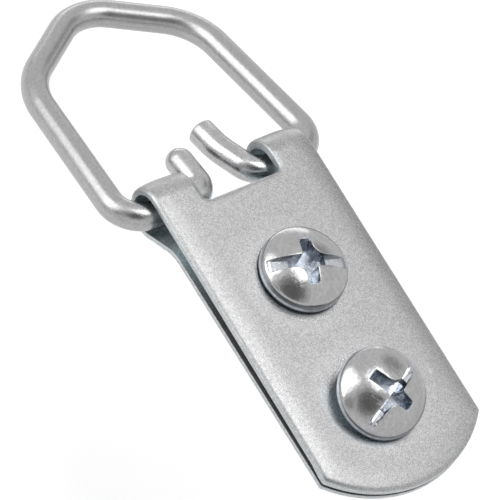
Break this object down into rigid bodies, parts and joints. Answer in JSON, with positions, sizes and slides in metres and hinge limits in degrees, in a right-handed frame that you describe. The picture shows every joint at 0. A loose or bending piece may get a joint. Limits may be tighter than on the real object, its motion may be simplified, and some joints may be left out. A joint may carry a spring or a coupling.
{
  "type": "d-ring picture hanger",
  "caption": "Folded sheet-steel strap with rolled knuckles that carry a swinging bent-wire ring, fastened to the back of a picture frame by pan head screws.",
  "frame": {"origin": "on the strap's flat back face, midway between the two screw holes", "axes": "+X across the strap, +Y along the strap towards the ring, +Z out of the front face, away from the picture frame"},
  "size_m": [0.028, 0.0675, 0.0197],
  "materials": {
    "zinc_plated_sheet": "satin zinc plate with a fine frosted grain",
    "zinc_plated_wire": "semi-gloss zinc plate",
    "bright_zinc_screw": "bright zinc plate"
  },
  "bodies": {
    "strap": {"strap": "zinc_plated_sheet"},
    "ring": {"ring": "zinc_plated_wire"},
    "screw_upper": {"screw_upper": "bright_zinc_screw"},
    "screw_lower": {"screw_lower": "bright_zinc_screw"}
  },
  "joints": [
    {"name": "ring_swing", "type": "hinge", "parent": "strap", "child": "ring", "pos_m": [0, 0.02107, 0.00003], "axis": [1, 0, 0], "range_deg": [-90, 110]},
    {"name": "screw_upper_turn", "type": "hinge", "parent": "strap", "child": "screw_upper", "pos_m": [0.0002, 0.0077, 0.00345], "axis": [0, -0.0262, 0.9997], "continuous": true},
    {"name": "screw_lower_turn", "type": "hinge", "parent": "strap", "child": "screw_lower", "pos_m": [-0.0002, -0.00797, 0.00413], "axis": [-0.0609, -0.2419, 0.9684], "continuous": true}
  ]
}
